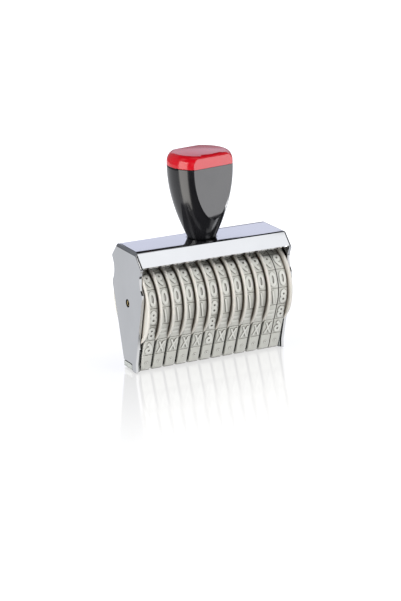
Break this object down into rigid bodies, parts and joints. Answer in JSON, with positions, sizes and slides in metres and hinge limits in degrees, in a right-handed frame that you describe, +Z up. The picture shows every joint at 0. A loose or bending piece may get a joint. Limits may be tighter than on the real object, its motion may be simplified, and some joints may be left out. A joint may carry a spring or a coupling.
{
  "type": "numbering stamp",
  "caption": "Hand numbering stamp: a chromed sheet frame with a turned grip, a row of thumbwheels on one axle, and endless character bands held flat at the printing face.",
  "frame": {"origin": "bottom centre of the bounding box, the middle of the printing face on which the stamp stands", "axes": "+Z up along the grip, +X along the row of bands towards the end whose wheel is turned round, -Y the front that faces the user"},
  "size_m": [0.095, 0.0484, 0.1227],
  "materials": {
    "frame_chrome": "polished",
    "bridge_plastic": "satin",
    "axle_brass": "turned",
    "wheel_plastic": "satin",
    "band_rubber": "smooth",
    "grip_black": "gloss",
    "cap_red": "gloss",
    "screw_steel": "zinc plated"
  },
  "bodies": {
    "stamp": {"frame": "frame_chrome", "bridge": "bridge_plastic", "axle": "axle_brass", "band_01": "band_rubber", "band_02": "band_rubber", "band_03": "band_rubber", "band_04": "band_rubber", "band_05": "band_rubber", "band_06": "band_rubber", "band_07": "band_rubber", "band_08": "band_rubber", "band_09": "band_rubber", "band_10": "band_rubber", "band_11": "band_rubber", "band_12": "band_rubber", "grip_body": "grip_black", "grip_cap": "cap_red", "grip_screw": "screw_steel", "grip_washer": "screw_steel"},
    "thumbwheel_01": {"wheel_01": "wheel_plastic"},
    "thumbwheel_02": {"wheel_02": "wheel_plastic"},
    "thumbwheel_03": {"wheel_03": "wheel_plastic"},
    "thumbwheel_04": {"wheel_04": "wheel_plastic"},
    "thumbwheel_05": {"wheel_05": "wheel_plastic"},
    "thumbwheel_06": {"wheel_06": "wheel_plastic"},
    "thumbwheel_07": {"wheel_07": "wheel_plastic"},
    "thumbwheel_08": {"wheel_08": "wheel_plastic"},
    "thumbwheel_09": {"wheel_09": "wheel_plastic"},
    "thumbwheel_10": {"wheel_10": "wheel_plastic"},
    "thumbwheel_11": {"wheel_11": "wheel_plastic"},
    "thumbwheel_12": {"wheel_12": "wheel_plastic"}
  },
  "joints": [
    {"name": "turn_01", "type": "hinge", "parent": "stamp", "child": "thumbwheel_01", "pos_m": [-0.042, 0, 0.0399], "axis": [1, 0, 0], "continuous": true},
    {"name": "turn_02", "type": "hinge", "parent": "stamp", "child": "thumbwheel_02", "pos_m": [-0.0344, 0, 0.0399], "axis": [1, 0, 0], "continuous": true},
    {"name": "turn_03", "type": "hinge", "parent": "stamp", "child": "thumbwheel_03", "pos_m": [-0.0268, 0, 0.0399], "axis": [1, 0, 0], "continuous": true},
    {"name": "turn_04", "type": "hinge", "parent": "stamp", "child": "thumbwheel_04", "pos_m": [-0.0192, 0, 0.0399], "axis": [1, 0, 0], "continuous": true},
    {"name": "turn_05", "type": "hinge", "parent": "stamp", "child": "thumbwheel_05", "pos_m": [-0.0116, 0, 0.0399], "axis": [1, 0, 0], "continuous": true},
    {"name": "turn_06", "type": "hinge", "parent": "stamp", "child": "thumbwheel_06", "pos_m": [-0.004, 0, 0.0399], "axis": [1, 0, 0], "continuous": true},
    {"name": "turn_07", "type": "hinge", "parent": "stamp", "child": "thumbwheel_07", "pos_m": [0.0037, 0, 0.0399], "axis": [1, 0, 0], "continuous": true},
    {"name": "turn_08", "type": "hinge", "parent": "stamp", "child": "thumbwheel_08", "pos_m": [0.0113, 0, 0.0399], "axis": [1, 0, 0], "continuous": true},
    {"name": "turn_09", "type": "hinge", "parent": "stamp", "child": "thumbwheel_09", "pos_m": [0.0189, 0, 0.0399], "axis": [1, 0, 0], "continuous": true},
    {"name": "turn_10", "type": "hinge", "parent": "stamp", "child": "thumbwheel_10", "pos_m": [0.0265, 0, 0.0399], "axis": [1, 0, 0], "continuous": true},
    {"name": "turn_11", "type": "hinge", "parent": "stamp", "child": "thumbwheel_11", "pos_m": [0.0341, 0, 0.0399], "axis": [1, 0, 0], "continuous": true},
    {"name": "turn_12", "type": "hinge", "parent": "stamp", "child": "thumbwheel_12", "pos_m": [0.042, 0, 0.0399], "axis": [1, 0, 0], "continuous": true}
  ]
}
